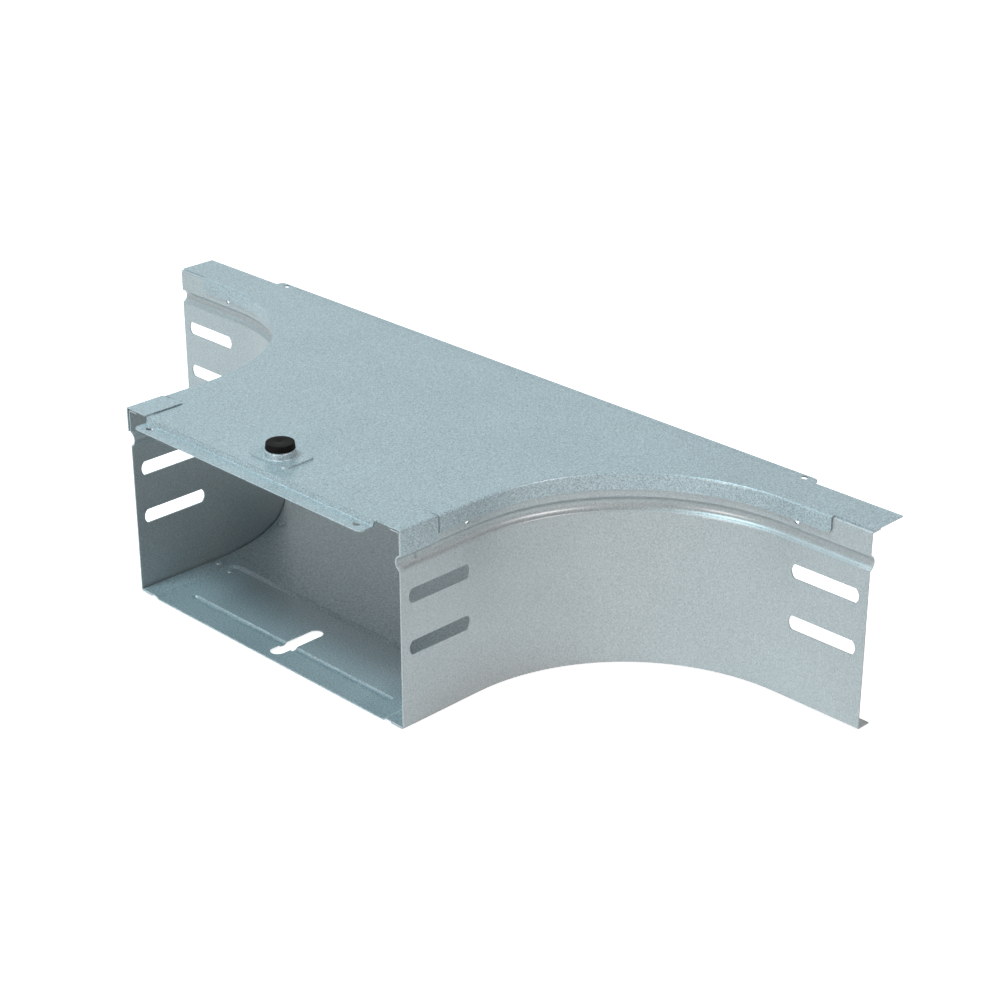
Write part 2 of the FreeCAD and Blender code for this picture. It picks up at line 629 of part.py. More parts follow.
def latch_knob():
    """Moulded cap with a rounded rim, a centre dimple and a square socket."""
    low = KNOB_BOTTOM
    high = low + KNOB_HEIGHT
    slant = (KNOB_RADIUS - KNOB_TOP_RADIUS) / KNOB_HEIGHT
    rim = V(KNOB_RADIUS - slant * (KNOB_HEIGHT - KNOB_ROUND), 0, high - KNOB_ROUND)
    flat = V(KNOB_TOP_RADIUS - KNOB_ROUND, 0, high)
    sink = KNOB_ROUND * (1 - math.sqrt(0.5))
    bow = V(KNOB_TOP_RADIUS - sink, 0, high - sink)
    axis_low, axis_high, foot = V(0, 0, low), V(0, 0, high), V(KNOB_RADIUS, 0, low)
    profile = Part.Wire([
        Part.makeLine(axis_low, foot), Part.makeLine(foot, rim),
        Part.Arc(rim, bow, flat).toShape(), Part.makeLine(flat, axis_high),
        Part.makeLine(axis_high, axis_low),
    ])
    knob = Part.Face(profile).revolve(V(0, 0, 0), Z, 360)
    knob.translate(Y * LATCH_Y)
    ball = (KNOB_DIMPLE_RADIUS ** 2 + KNOB_DIMPLE_DEPTH ** 2) / (2 * KNOB_DIMPLE_DEPTH)
    dimple = Part.makeSphere(ball, V(0, LATCH_Y, high - KNOB_DIMPLE_DEPTH + ball))
    half = KNOB_NOTCH_WIDTH / 2
    depth = KNOB_NOTCH_DEPTH
    notch = block(KNOB_TOP_RADIUS - depth, KNOB_RADIUS, -half, half, high - depth, high)
    notch.rotate(V(0, 0, 0), Z, KNOB_NOTCH_ANGLE)
    notch.translate(Y * LATCH_Y)
    return knob.cut([dimple, notch, square_rod(low, low + KNOB_SOCKET_DEPTH)])


def latch_spindle():
    """Turned stud: square ends, a neck in the collar's hole and a flange under it."""
    flange_top = COLLAR_Z - SHEET - WASHER_RISE - WASHER_STOCK - TURN_GAP
    neck = Part.makeCylinder(NECK_RADIUS, KNOB_BOTTOM - flange_top, V(0, LATCH_Y, flange_top))
    flange = Part.makeCylinder(
        SPINDLE_FLANGE_RADIUS, SPINDLE_FLANGE, V(0, LATCH_Y, flange_top - SPINDLE_FLANGE)
    )
    shank_height = flange_top - SPINDLE_FLANGE - BAR_TOP
    shank = Part.makeCylinder(SPINDLE_RADIUS, shank_height, V(0, LATCH_Y, BAR_TOP))
    driver = square_rod(KNOB_BOTTOM, KNOB_BOTTOM + KNOB_SOCKET_DEPTH)
    tail = square_rod(RING_BOTTOM - SPINDLE_TAIL, BAR_TOP)
    return fused([neck, flange, shank, driver, tail])


def spring_washer():
    """Shallow conical washer between the spindle's flange and the collar."""
    bottom = COLLAR_Z - SHEET - WASHER_RISE - WASHER_STOCK
    inner = NECK_RADIUS + TURN_GAP
    spots = [
        (inner, bottom + WASHER_RISE), (WASHER_OUTER, bottom),
        (WASHER_OUTER, bottom + WASHER_STOCK), (inner, bottom + WASHER_RISE + WASHER_STOCK),
    ]
    corners = [V(r, LATCH_Y, z) for r, z in spots]
    face = Part.Face(Part.makePolygon(corners + corners[:1]))
    return face.revolve(V(0, LATCH_Y, 0), Z, 360)


def latch_bar():
    """Flat bar with round ends and a square hole, crosswise when locked."""
    wire = slot_wire(V(0, LATCH_Y, BAR_BOTTOM), Y, X, BAR_LENGTH, BAR_WIDTH, BAR_WIDTH / 2)
    bar = Part.Face(wire).extrude(Z * BAR_THICKNESS)
    return bar.cut(square_rod(BAR_BOTTOM, BAR_TOP))


def retaining_ring():
    """Push-on ring that holds the bar on the spindle's square end."""
    ring = Part.makeCylinder(RING_RADIUS, RING_THICKNESS, V(0, LATCH_Y, RING_BOTTOM))
    return ring.cut(square_rod(RING_BOTTOM, BAR_BOTTOM))


def build():
    wall = right_wall()
    return {
        "floor_plate": floor_plate(),
        "side_wall_right": wall,
        "side_wall_left": mirrored(wall),
        "lid": lid(),
        "latch_bridge": latch_bridge(),
        "latch_knob": latch_knob(),
        "latch_spindle": latch_spindle(),
        "latch_spring_washer": spring_washer(),
        "latch_bar": latch_bar(),
        "latch_retaining_ring": retaining_ring(),
    }


def main():
    os.makedirs("parts", exist_ok=True)
    for name, shape in build().items():
        state = "valid" if shape.isValid() else "INVALID"
        counts = f"{len(shape.Solids)} solid, {len(shape.Faces)} faces"
        print(f"{name}: {counts}, {shape.Volume:.1f} mm3, {state}")
        shape.exportStep(f"parts/{name}.step")


main()
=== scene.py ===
import math

import bpy
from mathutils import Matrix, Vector


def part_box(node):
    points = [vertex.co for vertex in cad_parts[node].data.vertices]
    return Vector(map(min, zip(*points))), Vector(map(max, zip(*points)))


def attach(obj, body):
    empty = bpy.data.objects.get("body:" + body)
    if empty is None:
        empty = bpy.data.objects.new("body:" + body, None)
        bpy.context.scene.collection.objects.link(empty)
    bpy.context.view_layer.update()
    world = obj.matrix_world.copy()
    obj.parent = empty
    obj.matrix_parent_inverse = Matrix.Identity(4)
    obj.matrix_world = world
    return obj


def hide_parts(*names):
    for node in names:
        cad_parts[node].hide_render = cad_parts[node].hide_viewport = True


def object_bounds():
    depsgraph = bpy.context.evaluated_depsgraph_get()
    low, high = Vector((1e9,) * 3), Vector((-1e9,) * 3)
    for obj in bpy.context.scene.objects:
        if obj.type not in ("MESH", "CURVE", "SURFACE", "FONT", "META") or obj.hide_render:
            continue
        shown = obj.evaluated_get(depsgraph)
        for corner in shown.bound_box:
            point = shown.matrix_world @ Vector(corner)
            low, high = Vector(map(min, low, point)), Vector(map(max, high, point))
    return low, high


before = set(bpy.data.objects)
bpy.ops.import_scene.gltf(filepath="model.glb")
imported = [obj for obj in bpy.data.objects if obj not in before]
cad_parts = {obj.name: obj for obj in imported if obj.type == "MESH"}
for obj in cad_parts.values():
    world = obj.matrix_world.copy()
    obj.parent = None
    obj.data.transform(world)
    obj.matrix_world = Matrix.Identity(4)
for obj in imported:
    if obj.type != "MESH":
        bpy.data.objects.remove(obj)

bl_info = {
    "name": "Cable Tray Tee Finish",
    "version": (1, 0, 0),
    "blender": (4, 5, 0),
    "location": "View3D > Sidebar > Tray Tee",
    "description": "Finishes for a cable tray tee, with its moulded latch knob and a studio",
    "category": "Object",
}

CAD_BOX = [list(corner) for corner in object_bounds()]
SHEETS = ("floor_plate", "side_wall_right", "side_wall_left", "lid", "latch_bridge")
PLATED = ("latch_spindle", "latch_bar", "latch_retaining_ring", "latch_spring_washer")
KNOB_NODE = "latch_knob"
KNOB_LOW, KNOB_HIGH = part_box(KNOB_NODE)
FLOOR_LEVEL = CAD_BOX[0][2]

# The sheets that have the level zinc colour and speckle; that colour is a bluer copy of the zinc with
# painted cool overhead light in it
LEVEL_SHEETS = ("floor_plate", "lid")

# Each piece's grain is turned from the last one's, in radians, and a sheet's is also shifted, in metres
SHEET_TURN = (0.3, 0.5, 0.7)
SHEET_SHIFT = 0.13
PLATING_TURN = 0.4

# Noise values at which a speck is darkest and lightest
SPECK_DARK, SPECK_LIGHT = 0.36, 0.64
# Shares of the coarse and the fine noise in a speck, and how much finer the second one is
SPECK_SHARE, FINE_SHARE = 0.65, 0.35
FINE_STEP = 2.3
# Noise values at which a cloud is darkest and lightest, and how far it leaves the colour
CLOUD_LOW, CLOUD_HIGH = 0.3, 0.7
CLOUD_DRIFT = 0.03
# How far the specks spread the roughness, with the plating's own roughness and relief
ZINC_SPREAD = 0.05
PLATING_ROUGHNESS, PLATING_SPREAD, PLATING_RELIEF = 0.3, 0.12, 0.00001
# Size of the plating's clouds, counted in its specks
PLATING_CLOUD = 20

# Moulded skin and hand scuffs of the knob, in patterns to the metre, and the skin's depth in metres
SKIN_SCALE, SCUFF_SCALE = 5200, 420
SKIN_RELIEF = 0.00001
# Noise values between which the plastic goes from new to worn, and from smoother to rougher
NEW_AT, WORN_AT = 0.42, 0.68
SMOOTH_AT, ROUGH_AT = 0.3, 0.7
PLASTIC_SMOOTH, PLASTIC_ROUGH = 0.50, 0.64
PLASTIC_SHINE = 0.06

KNOB_SIDES = 96
# Rings that sink the dimple, and how much of its radius they take up
DIMPLE_STEPS, DIMPLE_SHARE = 5, 0.9

# Side of the studio floor in metres, and the parts that each side is divided into
FLOOR_SIZE, FLOOR_PARTS = 14, 20

LAMP_DISTANCE = 1.7
LAMP_SIZE = 0.5
# Name, azimuth and elevation in degrees, and the settings with its power and its colour
LAMPS = (
    ("Front lamp", 5, 12, "front", "warm"),
    ("High lamp", -20, 64, "high", "cool"),
    ("Left lamp", -100, 50, "left", "cool"),
    ("Side lamp", 95, 42, "side", "warm"),
)


# Sizes and colours that a user may change

class ZincSettings(bpy.types.PropertyGroup):
    """Galvanised sheet: its colour, its grain and how it shines."""

    colour: bpy.props.FloatVectorProperty(
        name="Zinc", description="Middle colour of the walls' and the bridge's zinc",
        subtype="COLOR", size=3, min=0, max=1, default=(0.37, 0.425, 0.442),
    )
    # Level zinc: the walls' zinc with a bluer tint painted in, which stands for the cool overhead light
    # falling on the lid and the floor
    level_colour_painted_light: bpy.props.FloatVectorProperty(
        name="Level zinc", description="Middle colour of the lid's and the floor's zinc",
        subtype="COLOR", size=3, min=0, max=1, default=(0.335, 0.425, 0.458),
    )
    speckle: bpy.props.FloatProperty(
        name="Speckle", description="How far the specks of the walls and the bridge leave that colour",
        subtype="FACTOR", min=0, max=1, default=0.24,
    )
    level_speckle: bpy.props.FloatProperty(
        name="Level speckle", description="How far the specks of the lid and the floor leave that colour",
        subtype="FACTOR", min=0, max=1, default=0.44,
    )
    grain: bpy.props.FloatProperty(
        name="Grain", description="Size of one speck of the zinc",
        subtype="DISTANCE", unit="LENGTH", min=0.0002, max=0.01, default=0.0008,
    )
    cloud: bpy.props.FloatProperty(
        name="Clouds", description="Size of the faint clouds in the zinc",
        subtype="DISTANCE", unit="LENGTH", min=0.005, max=0.5, default=0.045,
    )
    relief: bpy.props.FloatProperty(
        name="Relief", description="Depth of the specks in the surface",
        subtype="DISTANCE", unit="LENGTH", min=0, max=0.001, default=0.000004,
    )
    roughness: bpy.props.FloatProperty(
        name="Roughness", description="Middle roughness of the sheet",
        subtype="FACTOR", min=0.05, max=1, default=0.34,
    )
    metal: bpy.props.FloatProperty(
        name="Metal", description="How much of the sheet's surface is bare metal rather than dull zinc",
        subtype="FACTOR", min=0, max=1, default=0.2,
    )


class PlatingSettings(bpy.types.PropertyGroup):
    """Bright zinc plating on the latch's small steel pieces."""

    colour: bpy.props.FloatVectorProperty(
        name="Plating", description="Middle colour of the plating",
        subtype="COLOR", size=3, min=0, max=1, default=(0.52, 0.54, 0.56),
    )
    speckle: bpy.props.FloatProperty(
        name="Plating speckle", description="How far the specks of the plating leave that colour",
        subtype="FACTOR", min=0, max=1, default=0.2,
    )
    grain: bpy.props.FloatProperty(
        name="Plating grain", description="Size of one speck of the plating",
        subtype="DISTANCE", unit="LENGTH", min=0.0001, max=0.01, default=0.0004,
    )


class KnobSettings(bpy.types.PropertyGroup):
    """Moulded quarter-turn knob on top of the lid."""

    top_radius: bpy.props.FloatProperty(
        name="Top radius", description="Radius of the knob's top before its rim is rounded",
        subtype="DISTANCE", unit="LENGTH", min=0.002, max=0.05, default=0.0070,
    )
    rim: bpy.props.FloatProperty(
        name="Rim", description="Rounding of the knob's upper rim",
        subtype="DISTANCE", unit="LENGTH", min=0.0001, max=0.002, default=0.00035,
    )
    foot: bpy.props.FloatProperty(
        name="Foot", description="Rounding of the knob's lower edge",
        subtype="DISTANCE", unit="LENGTH", min=0.00005, max=0.001, default=0.0002,
    )
    dimple: bpy.props.FloatProperty(
        name="Dimple", description="Radius of the small dimple in the middle",
        subtype="DISTANCE", unit="LENGTH", min=0.0002, max=0.004, default=0.0007,
    )
    dimple_depth: bpy.props.FloatProperty(
        name="Dimple depth", description="Depth of that dimple",
        subtype="DISTANCE", unit="LENGTH", min=0, max=0.001, default=0.0002,
    )
    notch_width: bpy.props.FloatProperty(
        name="Notch width", description="Width of the mark in the rim",
        subtype="DISTANCE", unit="LENGTH", min=0.0003, max=0.004, default=0.0012,
    )
    notch_depth: bpy.props.FloatProperty(
        name="Notch depth", description="Depth of the mark in the rim",
        subtype="DISTANCE", unit="LENGTH", min=0.0001, max=0.002, default=0.0005,
    )
    notch_angle: bpy.props.FloatProperty(
        name="Notch angle", description="Direction of the mark at rest, counted from the run's",
        subtype="ANGLE", unit="ROTATION", default=math.radians(58),
    )
    socket: bpy.props.FloatProperty(
        name="Socket", description="Across the flats of the square socket underneath",
        subtype="DISTANCE", unit="LENGTH", min=0.001, max=0.02, default=0.0036,
    )
    socket_depth: bpy.props.FloatProperty(
        name="Socket depth", description="Depth of that socket",
        subtype="DISTANCE", unit="LENGTH", min=0.0002, max=0.01, default=0.0020,
    )
    plastic: bpy.props.FloatVectorProperty(
        name="Plastic", description="Colour of the moulded plastic",
        subtype="COLOR", size=3, min=0, max=1, default=(0.003, 0.003, 0.003),
    )
    worn: bpy.props.FloatVectorProperty(
        name="Worn plastic", description="Colour where hands have dulled the plastic",
        subtype="COLOR", size=3, min=0, max=1, default=(0.007, 0.0068, 0.0065),
    )


class StudioSettings(bpy.types.PropertyGroup):
    """Floor, lights and camera."""

    backdrop: bpy.props.FloatVectorProperty(
        name="Backdrop", description="Colour of the floor and of what is behind it",
        subtype="COLOR", size=3, min=0, max=1, default=(0.86, 0.86, 0.86),
    )
    glow: bpy.props.FloatProperty(
        name="Floor glow", description="How much of the floor's white is its own, so that it stays pale",
        min=0, max=1, default=0.8,
    )
    fill: bpy.props.FloatProperty(
        name="Fill", description="Strength of the light from all round",
        min=0, max=5, default=0.05,
    )
    front: bpy.props.FloatProperty(
        name="Front light", description="Power of the low soft lamp before the branch",
        unit="POWER", min=0, max=1000, default=11,
    )
    high: bpy.props.FloatProperty(
        name="High light", description="Power of the soft lamp high above the branch",
        unit="POWER", min=0, max=1000, default=16.5,
    )
    left: bpy.props.FloatProperty(
        name="Left light", description="Power of the soft lamp that shines on the lid from the left",
        unit="POWER", min=0, max=1000, default=5,
    )
    side: bpy.props.FloatProperty(
        name="Side light", description="Power of the soft lamp beside the branch",
        unit="POWER", min=0, max=1000, default=10.5,
    )
    cool: bpy.props.FloatVectorProperty(
        name="High colour", description="Colour of the high lamp and the left lamp",
        subtype="COLOR", size=3, min=0, max=1, default=(0.74, 0.94, 1.0),
    )
    warm: bpy.props.FloatVectorProperty(
        name="Low colour", description="Colour of the front and side lamps",
        subtype="COLOR", size=3, min=0, max=1, default=(1.0, 0.87, 0.83),
    )
    target: bpy.props.FloatVectorProperty(
        name="Target", description="Point in the middle of the picture",
        subtype="TRANSLATION", size=3, default=(0.02832, 0.08611, 0.05033),
    )
    azimuth: bpy.props.FloatProperty(
        name="Azimuth", description="Camera's direction round the tee, from the branch's end",
        subtype="ANGLE", unit="ROTATION", default=math.radians(45),
    )
    elevation: bpy.props.FloatProperty(
        name="Elevation", description="Camera's height above the horizon",
        subtype="ANGLE", unit="ROTATION", default=math.radians(25.01),
    )
    distance: bpy.props.FloatProperty(
        name="Distance", description="Camera's distance from the target",
        subtype="DISTANCE", unit="LENGTH", min=0.1, default=1.1854,
    )
    lens: bpy.props.FloatProperty(
        name="Lens", description="Focal length on a 36 mm sensor",
        unit="CAMERA", min=10, default=82.62,
    )


# Shader building

def new_node(tree, kind, inputs=(), **settings):
    """Node of that kind, with its settings and the values of its sockets."""
    made = tree.nodes.new(kind)
    for name, value in settings.items():
        setattr(made, name, value)
    for name, value in dict(inputs).items():
        if isinstance(value, bpy.types.NodeSocket):
            tree.links.new(value, made.inputs[name])
        else:
            made.inputs[name].default_value = value
    return made


def noise(tree, vector, scale, detail, roughness):
    inputs = {"Vector": vector, "Scale": scale, "Detail": detail, "Roughness": roughness}
    return new_node(tree, "ShaderNodeTexNoise", inputs).outputs["Fac"]


def remapped(tree, value, low, high, new_low, new_high):
    """Value carried from one range to another and kept inside it."""
    inputs = {
        "Value": value, "From Min": low, "From Max": high, "To Min": new_low, "To Max": new_high,
    }
    return new_node(tree, "ShaderNodeMapRange", inputs).outputs["Result"]


def calculated(tree, operation, first, second):
    made = new_node(tree, "ShaderNodeMath", {0: first, 1: second}, operation=operation)
    return made.outputs["Value"]


def mixed_colour(tree, factor, first, second):
    made = new_node(tree, "ShaderNodeMix", {0: factor, 6: first, 7: second}, data_type="RGBA")
    return made.outputs[2]


def new_group(name, inputs, outputs):
    """Empty shader node group with named sockets, and its two end nodes."""
    group = bpy.data.node_groups.new(name, "ShaderNodeTree")
    for socket, kind in inputs.items():
        group.interface.new_socket(socket, in_out="INPUT", socket_type=kind)
    for socket, kind in outputs.items():
        group.interface.new_socket(socket, in_out="OUTPUT", socket_type=kind)
    start = group.nodes.new("NodeGroupInput")
    end = group.nodes.new("NodeGroupOutput")
    return group, start.outputs, end.inputs


def grain_group():
    """Fine specks of zinc or plating over faint clouds, for one colour."""
    found = bpy.data.node_groups.get("Zinc Grain")
    if found:
        return found
    number, vector, colour = "NodeSocketFloat", "NodeSocketVector", "NodeSocketColor"
    group, given, out = new_group(
        "Zinc Grain",
        {"Vector": vector, "Color": colour, "Speck Scale": number, "Cloud Scale": number,
         "Speckle": number, "Roughness": number, "Spread": number},
        {"Color": colour, "Roughness": number, "Height": number},
    )
    specks = noise(group, given["Vector"], given["Speck Scale"], detail=3.0, roughness=0.62)
    fine_scale = calculated(group, "MULTIPLY", given["Speck Scale"], FINE_STEP)
    fine = noise(group, given["Vector"], fine_scale, detail=2.0, roughness=0.5)
    clouds = noise(group, given["Vector"], given["Cloud Scale"], detail=2.0, roughness=0.5)
    speck_part = calculated(group, "MULTIPLY", specks, SPECK_SHARE)
    fine_part = calculated(group, "MULTIPLY", fine, FINE_SHARE)
    both = calculated(group, "ADD", speck_part, fine_part)
    swing = remapped(group, both, SPECK_DARK, SPECK_LIGHT, -1.0, 1.0)
    drift = remapped(group, clouds, CLOUD_LOW, CLOUD_HIGH, 1 - CLOUD_DRIFT, 1 + CLOUD_DRIFT)
    speckle = calculated(group, "MULTIPLY", swing, given["Speckle"])
    shade = calculated(group, "ADD", speckle, drift)
    inputs = {0: given["Color"], "Scale": shade}
    tint = new_node(group, "ShaderNodeVectorMath", inputs, operation="SCALE")
    group.links.new(tint.outputs["Vector"], out["Color"])
    half = calculated(group, "MULTIPLY", given["Spread"], 0.5)
    spread = calculated(group, "MULTIPLY", swing, half)
    group.links.new(calculated(group, "ADD", given["Roughness"], spread), out["Roughness"])
    group.links.new(both, out["Height"])
    return group


def placed_coordinates(tree, turn, shift):
    """Object coordinates, turned and shifted so that no two pieces show the same pattern."""
    source = new_node(tree, "ShaderNodeTexCoord").outputs["Object"]
    mapping = new_node(tree, "ShaderNodeMapping", {"Vector": source})
    mapping.inputs["Rotation"].default_value = turn
    mapping.inputs["Location"].default_value = shift
    return mapping.outputs["Vector"]


def empty_material(name):
    material = bpy.data.materials.new(name)
    material.use_nodes = True
    return material, material.node_tree, material.node_tree.nodes["Principled BSDF"]


def grained_metal(name, colour, turn, shift, values):
    """Metal with the zinc grain in its colour, roughness and relief."""
    material, tree, shader = empty_material(name)
    group = tree.nodes.new("ShaderNodeGroup")
    group.node_tree = grain_group()
    tree.links.new(placed_coordinates(tree, turn, shift), group.inputs["Vector"])
    group.inputs["Color"].default_value = (*colour, 1)
    for socket in ("Speck Scale", "Cloud Scale", "Speckle", "Roughness", "Spread"):
        group.inputs[socket].default_value = values[socket]
    bump = new_node(tree, "ShaderNodeBump", {
        "Height": group.outputs["Height"], "Strength": 1.0, "Distance": values["Relief"],
    })
    tree.links.new(group.outputs["Color"], shader.inputs["Base Color"])
    tree.links.new(group.outputs["Roughness"], shader.inputs["Roughness"])
    tree.links.new(bump.outputs["Normal"], shader.inputs["Normal"])
    shader.inputs["Metallic"].default_value = values["Metallic"]
    return material


def zinc_material(index, name):
    """Galvanised finish of one sheet; the level sheets' colour has painted cool overhead light in it."""
    zinc = bpy.context.scene.tray_zinc
    level = name in LEVEL_SHEETS
    speckle = zinc.level_speckle if level else zinc.speckle
    # The level sheets take the zinc colour with the painted cool overhead light
    colour = zinc.level_colour_painted_light if level else zinc.colour
    values = {
        "Speck Scale": 1 / zinc.grain, "Cloud Scale": 1 / zinc.cloud, "Roughness": zinc.roughness,
        "Speckle": speckle, "Spread": ZINC_SPREAD, "Relief": zinc.relief, "Metallic": zinc.metal,
    }
    turn = [index * part for part in SHEET_TURN]
    shift = (index * SHEET_SHIFT, 0.0, 0.0)
    return grained_metal(f"{name} zinc", colour, turn, shift, values)


def plated_material(index, name):
    """Bright plated finish of one small turned or stamped piece."""
    plating = bpy.context.scene.tray_plating
    values = {
        "Speck Scale": 1 / plating.grain, "Cloud Scale": 1 / (PLATING_CLOUD * plating.grain),
        "Speckle": plating.speckle, "Roughness": PLATING_ROUGHNESS,
        "Spread": PLATING_SPREAD, "Relief": PLATING_RELIEF, "Metallic": 1.0,
    }
    turn = (0, 0, PLATING_TURN * index)
    return grained_metal(f"{name} plating", plating.colour, turn, (0, 0, 0), values)


def plastic_material():
    """Black moulded plastic with a fine skin, worn and rougher in places."""
    knob = bpy.context.scene.tray_knob
    material, tree, shader = empty_material("knob plastic")
    source = new_node(tree, "ShaderNodeTexCoord").outputs["Object"]
    skin = noise(tree, source, SKIN_SCALE, detail=2.0, roughness=0.6)
    scuffs = noise(tree, source, SCUFF_SCALE, detail=4.0, roughness=0.7)
    factor = remapped(tree, scuffs, NEW_AT, WORN_AT, 0.0, 1.0)
    tint = mixed_colour(tree, factor, (*knob.plastic, 1), (*knob.worn, 1))
    tree.links.new(tint, shader.inputs["Base Color"])
    roughness = remapped(tree, scuffs, SMOOTH_AT, ROUGH_AT, PLASTIC_SMOOTH, PLASTIC_ROUGH)
    tree.links.new(roughness, shader.inputs["Roughness"])
    inputs = {"Height": skin, "Strength": 1.0, "Distance": SKIN_RELIEF}
    bump = new_node(tree, "ShaderNodeBump", inputs)
    tree.links.new(bump.outputs["Normal"], shader.inputs["Normal"])
    shader.inputs["Specular IOR Level"].default_value = PLASTIC_SHINE
    return material


def dress(piece, material):
    piece.data.materials.clear()
    piece.data.materials.append(material)


# Modelling help

def select_only(piece=None):
    if bpy.context.object and bpy.context.object.mode != "OBJECT":
        bpy.ops.object.mode_set(mode="OBJECT")
    bpy.ops.object.select_all(action="DESELECT")
    if piece:
        piece.select_set(True)
        bpy.context.view_layer.objects.active = piece


def select_where(kind, test):
    """Select the faces or edges of the edited mesh whose middle and direction pass the test."""
    bpy.ops.mesh.select_mode(type=kind)
    bpy.ops.mesh.select_all(action="DESELECT")
    bpy.ops.object.mode_set(mode="OBJECT")
    mesh = bpy.context.object.data
    if kind == "FACE":
        for face in mesh.polygons:
            face.select = test(face.center, face.normal)
    else:
        for edge in mesh.edges:
            ends = [mesh.vertices[i].co for i in edge.vertices]
            edge.select = test((ends[0] + ends[1]) / 2, (ends[0] - ends[1]).normalized())
    bpy.ops.object.mode_set(mode="EDIT")


def apply_modifier(piece, kind, **settings):
    select_only(piece)
    modifier = piece.modifiers.new(kind.title(), kind)
    for name, value in settings.items():
        setattr(modifier, name, value)
    bpy.ops.object.modifier_apply(modifier=modifier.name)


def settle(piece):
    """Leave the object at the origin with its place in its mesh."""
    select_only(piece)
    bpy.ops.object.transform_apply(location=True, rotation=True, scale=True)


def cut_away(piece, cutter):
    """Cut one closed mesh out of another and delete the cutter."""
    apply_modifier(piece, "BOOLEAN", object=cutter, operation="DIFFERENCE", solver="EXACT")
    bpy.data.objects.remove(cutter)


def box_cutter(centre, size, turn):
    select_only()
    bpy.ops.mesh.primitive_cube_add(size=1, location=centre, rotation=(0, 0, turn))
    cutter = bpy.context.object
    cutter.scale = size
    settle(cutter)
    return cutter


def outward(azimuth, elevation):
    """Direction from the tee, with the azimuth counted from the branch's end towards +X."""
    level = math.cos(elevation)
    return Vector((
        math.sin(azimuth) * level, -math.cos(azimuth) * level, math.sin(elevation)
    ))


# Operators

class TRAY_OT_zinc_sheets(bpy.types.Operator):
    """Give each folded sheet its galvanised finish"""

    bl_idname = "tray.zinc_sheets"
    bl_label = "Galvanise Sheets"

    def execute(self, context):
        for index, name in enumerate(SHEETS):
            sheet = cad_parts[name]
            dress(sheet, zinc_material(index, name))
        return {"FINISHED"}


class TRAY_OT_plated_pieces(bpy.types.Operator):
    """Give the latch's small steel pieces their bright plating"""

    bl_idname = "tray.plated_pieces"
    bl_label = "Plate Latch Pieces"

    def execute(self, context):
        for index, name in enumerate(PLATED):
            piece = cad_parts[name]
            dress(piece, plated_material(index, name))
        return {"FINISHED"}


class TRAY_OT_knob(bpy.types.Operator):
    """Model the moulded knob in place of its plain solid"""

    bl_idname = "tray.knob"
    bl_label = "Model Knob"

    def execute(self, context):
        settings = context.scene.tray_knob
        centre = (KNOB_LOW + KNOB_HIGH) / 2
        top, bottom = KNOB_HIGH.z, KNOB_LOW.z
        radius = (KNOB_HIGH.x - KNOB_LOW.x) / 2
        select_only()
        bpy.ops.mesh.primitive_cylinder_add(
            vertices=KNOB_SIDES, radius=radius, depth=top - bottom, location=centre
        )
        knob = bpy.context.object
        knob.name = "knob_cap"
        settle(knob)
        bpy.ops.object.mode_set(mode="EDIT")
        self.shape_top(settings, centre, top, radius)
        near = settings.rim / 4
        select_where("EDGE", lambda middle, way: abs(middle.z - bottom) < near and abs(way.z) < 0.5)
        bpy.ops.mesh.bevel(offset=settings.foot, segments=3, affect="EDGES")
        bpy.ops.object.mode_set(mode="OBJECT")
        self.cut_marks(settings, knob, centre, top, bottom)
        select_only(knob)
        bpy.ops.object.shade_smooth_by_angle(angle=math.radians(35))
        dress(knob, plastic_material())
        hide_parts(KNOB_NODE)
        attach(knob, "latch")
        return {"FINISHED"}

    @staticmethod
    def shape_top(settings, centre, top, radius):
        """Taper the cap, round its rim and sink the small dimple."""
        select_where("FACE", lambda middle, normal: normal.z > 0.9)
        taper = settings.top_radius / radius
        middle = Vector((centre.x, centre.y, top))
        bpy.ops.transform.resize(value=(taper, taper, 1), center_override=middle)
        near = settings.rim / 4
        select_where("EDGE", lambda spot, way: abs(spot.z - top) < near)
        bpy.ops.mesh.bevel(offset=settings.rim, segments=6, affect="EDGES")
        select_where("FACE", lambda spot, normal: normal.z > 0.999 and spot.z > top - near)
        flat = settings.top_radius - settings.rim
        bpy.ops.mesh.inset(thickness=flat - settings.dimple)
        for step in range(DIMPLE_STEPS):
            depth_before = 1 - (1 - step / DIMPLE_STEPS) ** 2
            depth_after = 1 - (1 - (step + 1) / DIMPLE_STEPS) ** 2
            bpy.ops.mesh.inset(
                thickness=settings.dimple * DIMPLE_SHARE / DIMPLE_STEPS,
                depth=-settings.dimple_depth * (depth_after - depth_before),
            )

    @staticmethod
    def cut_marks(settings, knob, centre, top, bottom):
        """Cut the mark in the rim and the socket for the spindle's square."""
        reach = settings.top_radius - settings.notch_depth / 2 + settings.rim
        turn = settings.notch_angle
        spot = Vector((
            centre.x + reach * math.cos(turn), centre.y + reach * math.sin(turn), top
        ))
        size = (3 * settings.notch_depth, settings.notch_width, 2 * settings.notch_depth)
        cut_away(knob, box_cutter(spot, size, turn))
        depth = settings.socket_depth
        size = (settings.socket, settings.socket, 2 * depth)
        cut_away(knob, box_cutter(Vector((centre.x, centre.y, bottom)), size, 0))


